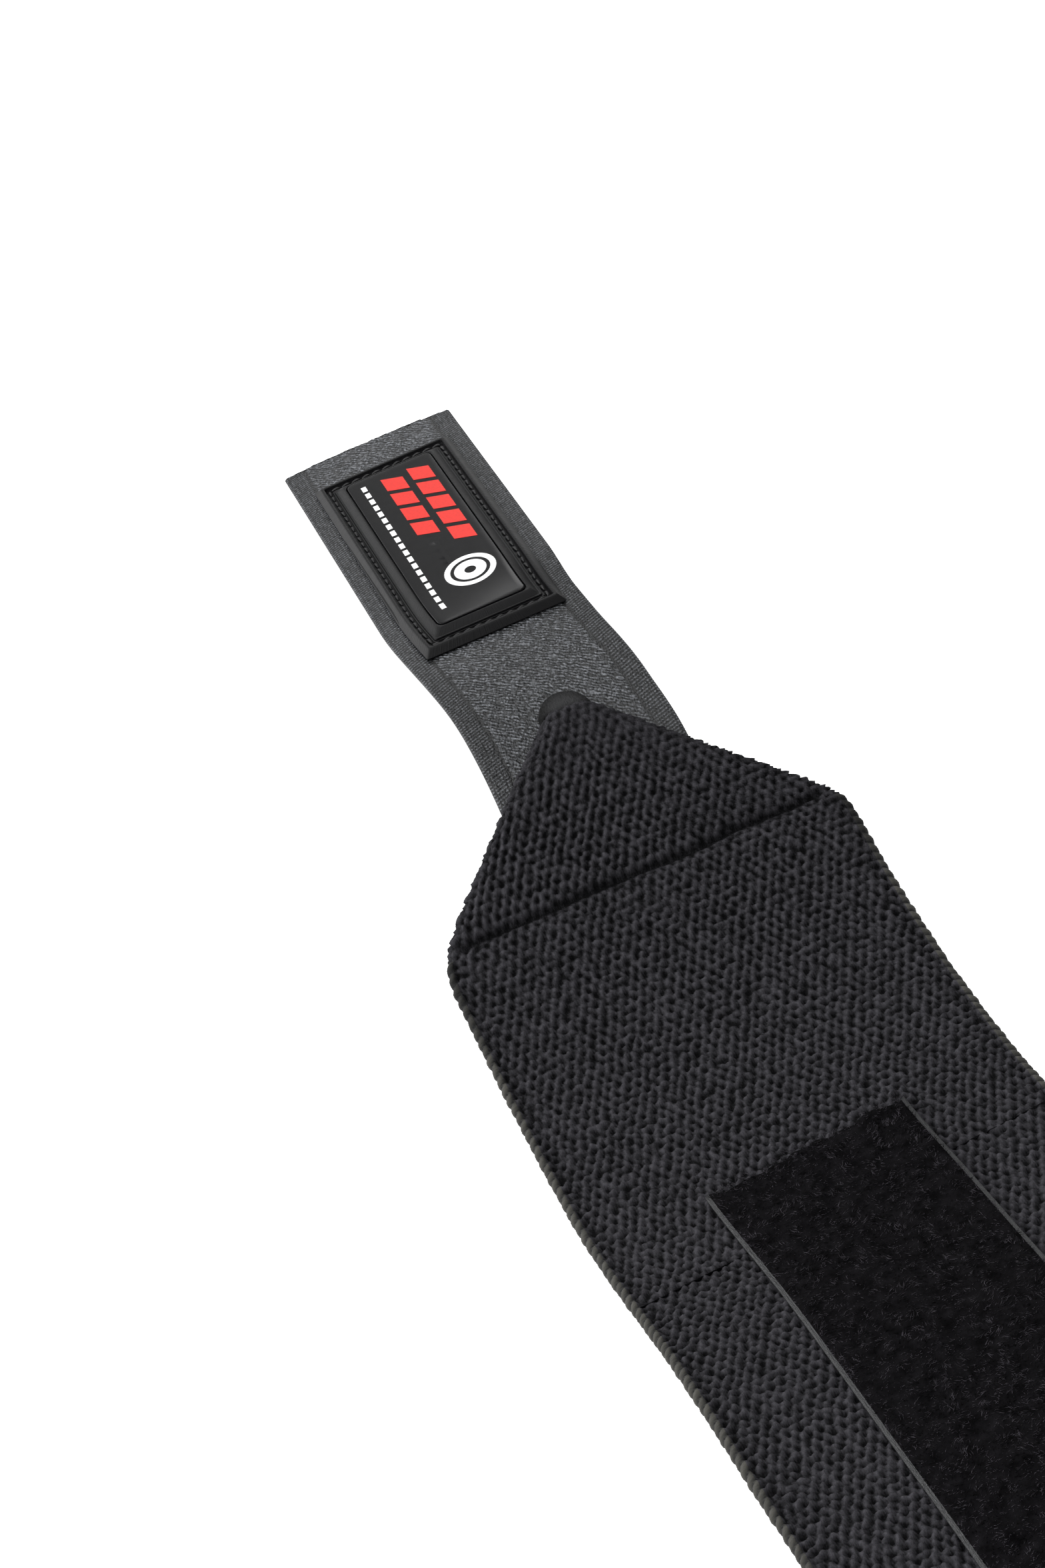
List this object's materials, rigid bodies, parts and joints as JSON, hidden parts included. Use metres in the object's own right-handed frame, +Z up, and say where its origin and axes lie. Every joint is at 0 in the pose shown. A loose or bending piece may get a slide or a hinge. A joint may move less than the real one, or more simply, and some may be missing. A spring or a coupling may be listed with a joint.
{
  "type": "wrist wrap",
  "caption": "Knitted elastic wrist wrap lying open, with a folded point, grey hook tab, moulded badge, loop strip and thumb loop.",
  "frame": {"origin": "on the surface the wrap lies on, under the middle of its bounding box", "axes": "+X along the wrap from the hook tab's free end to the thumb loop, +Y across it to the left of that direction, +Z up"},
  "size_m": [0.5372, 0.0834, 0.0339],
  "materials": {
    "knit_elastic": "matte",
    "felt": "matte",
    "hook_tape": "satin",
    "moulded_rubber": "satin",
    "gloss_panel": "gloss",
    "loop_pile": "matte",
    "strap_elastic": "matte"
  },
  "bodies": {
    "root": {"elastic_band": "knit_elastic", "point_tip": "felt", "hook_tab": "hook_tape", "badge": "moulded_rubber", "badge_panel": "gloss_panel", "loop_strip": "loop_pile", "thumb_loop": "strap_elastic"}
  },
  "joints": []
}
